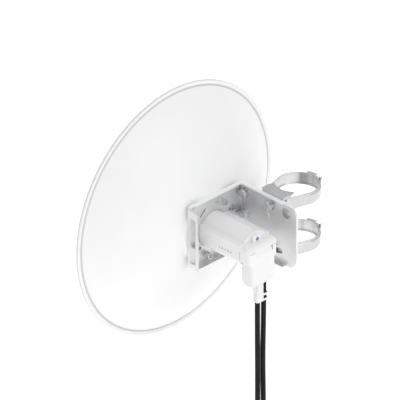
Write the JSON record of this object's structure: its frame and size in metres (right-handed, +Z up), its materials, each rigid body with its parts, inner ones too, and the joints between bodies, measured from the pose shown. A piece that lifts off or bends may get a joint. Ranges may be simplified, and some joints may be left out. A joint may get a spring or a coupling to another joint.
{
  "type": "outdoor wireless bridge",
  "caption": "Pole-mounted point-to-point radio with a parabolic dish, tilt bracket, band clamps, rear radio case, port hood and two cables.",
  "frame": {"origin": "on the mast's axis, halfway between the two band clamps", "axes": "+Z up the mast, +Y the way the dish faces, -X towards the dish"},
  "size_m": [0.3999, 0.2407, 0.604],
  "materials": {
    "dish_paint": "white powder coat",
    "zinc": "zinc plated",
    "bracket_metal": "satin",
    "white_plastic": "fine moulded",
    "seal_rubber": "matt",
    "clear_plastic": "light pipe",
    "led_plastic": "lens",
    "board": "solder mask",
    "tin": "tinned",
    "grey_plastic": "moulded",
    "black_plastic": "moulded",
    "cast_metal": "cast",
    "plug_plastic": "clear moulded",
    "cable_jacket": "PVC",
    "clip_plastic": "moulded",
    "tie_fabric": "hook and loop",
    "strap_steel": "stainless"
  },
  "bodies": {
    "mast_bracket": {"pole_bracket": "bracket_metal", "upper_strap": "strap_steel", "lower_strap": "strap_steel", "upper_screw_housing": "strap_steel", "lower_screw_housing": "strap_steel", "pivot_washer": "zinc", "pivot_bolt": "zinc", "pivot_nut": "zinc", "lock_washer": "zinc", "lock_bolt": "zinc", "lock_nut": "zinc"},
    "antenna": {"dish_reflector": "dish_paint", "dish_bolts": "zinc", "ground_screw": "zinc", "main_bracket": "bracket_metal", "bracket_stiffener": "bracket_metal", "stiffener_bolts": "zinc", "stiffener_nuts": "zinc", "radio_body": "white_plastic", "rear_cap": "white_plastic", "cap_gasket": "seal_rubber", "cap_screw": "zinc", "led_windows": "clear_plastic", "status_leds": "led_plastic", "main_board": "board", "rf_shield": "tin", "ethernet_jacks": "tin", "port_plate": "grey_plastic", "reset_switch": "black_plastic", "feed_tube": "white_plastic", "feed_gasket": "seal_rubber", "feed_horn": "cast_metal", "subreflector": "cast_metal", "feed_cap": "white_plastic", "plug_main": "plug_plastic", "plug_aux": "plug_plastic", "cable_main": "cable_jacket", "cable_aux": "cable_jacket", "coil_main": "cable_jacket", "coil_aux": "cable_jacket", "tail_main": "cable_jacket", "tail_aux": "cable_jacket", "far_plug_main": "plug_plastic", "far_plug_aux": "plug_plastic", "cable_clip": "clip_plastic", "coil_ties": "tie_fabric"},
    "hood": {"port_cover": "white_plastic"},
    "reset": {"reset_button": "grey_plastic"},
    "upper_screw": {"upper_clamp_screw": "zinc"},
    "lower_screw": {"lower_clamp_screw": "zinc"}
  },
  "joints": [
    {"name": "tilt", "type": "hinge", "parent": "mast_bracket", "child": "antenna", "pos_m": [-0.054, 0, 0.0372], "axis": [1, 0, 0], "range_deg": [-15, 15]},
    {"name": "hood_slide", "type": "slide", "parent": "antenna", "child": "hood", "axis": [0, 0, -1], "range_m": [0, 0.025]},
    {"name": "reset_press", "type": "slide", "parent": "antenna", "child": "reset", "axis": [0, 0, 1], "range_m": [0, 0.0008], "stiffness_N_per_m": 800},
    {"name": "upper_clamp_turn", "type": "hinge", "parent": "mast_bracket", "child": "upper_screw", "pos_m": [0.03901, 0.00973, 0.0396], "axis": [0.2419, -0.9703, 0], "continuous": true},
    {"name": "lower_clamp_turn", "type": "hinge", "parent": "mast_bracket", "child": "lower_screw", "pos_m": [0.03901, 0.00973, -0.0396], "axis": [0.2419, -0.9703, 0], "continuous": true}
  ]
}
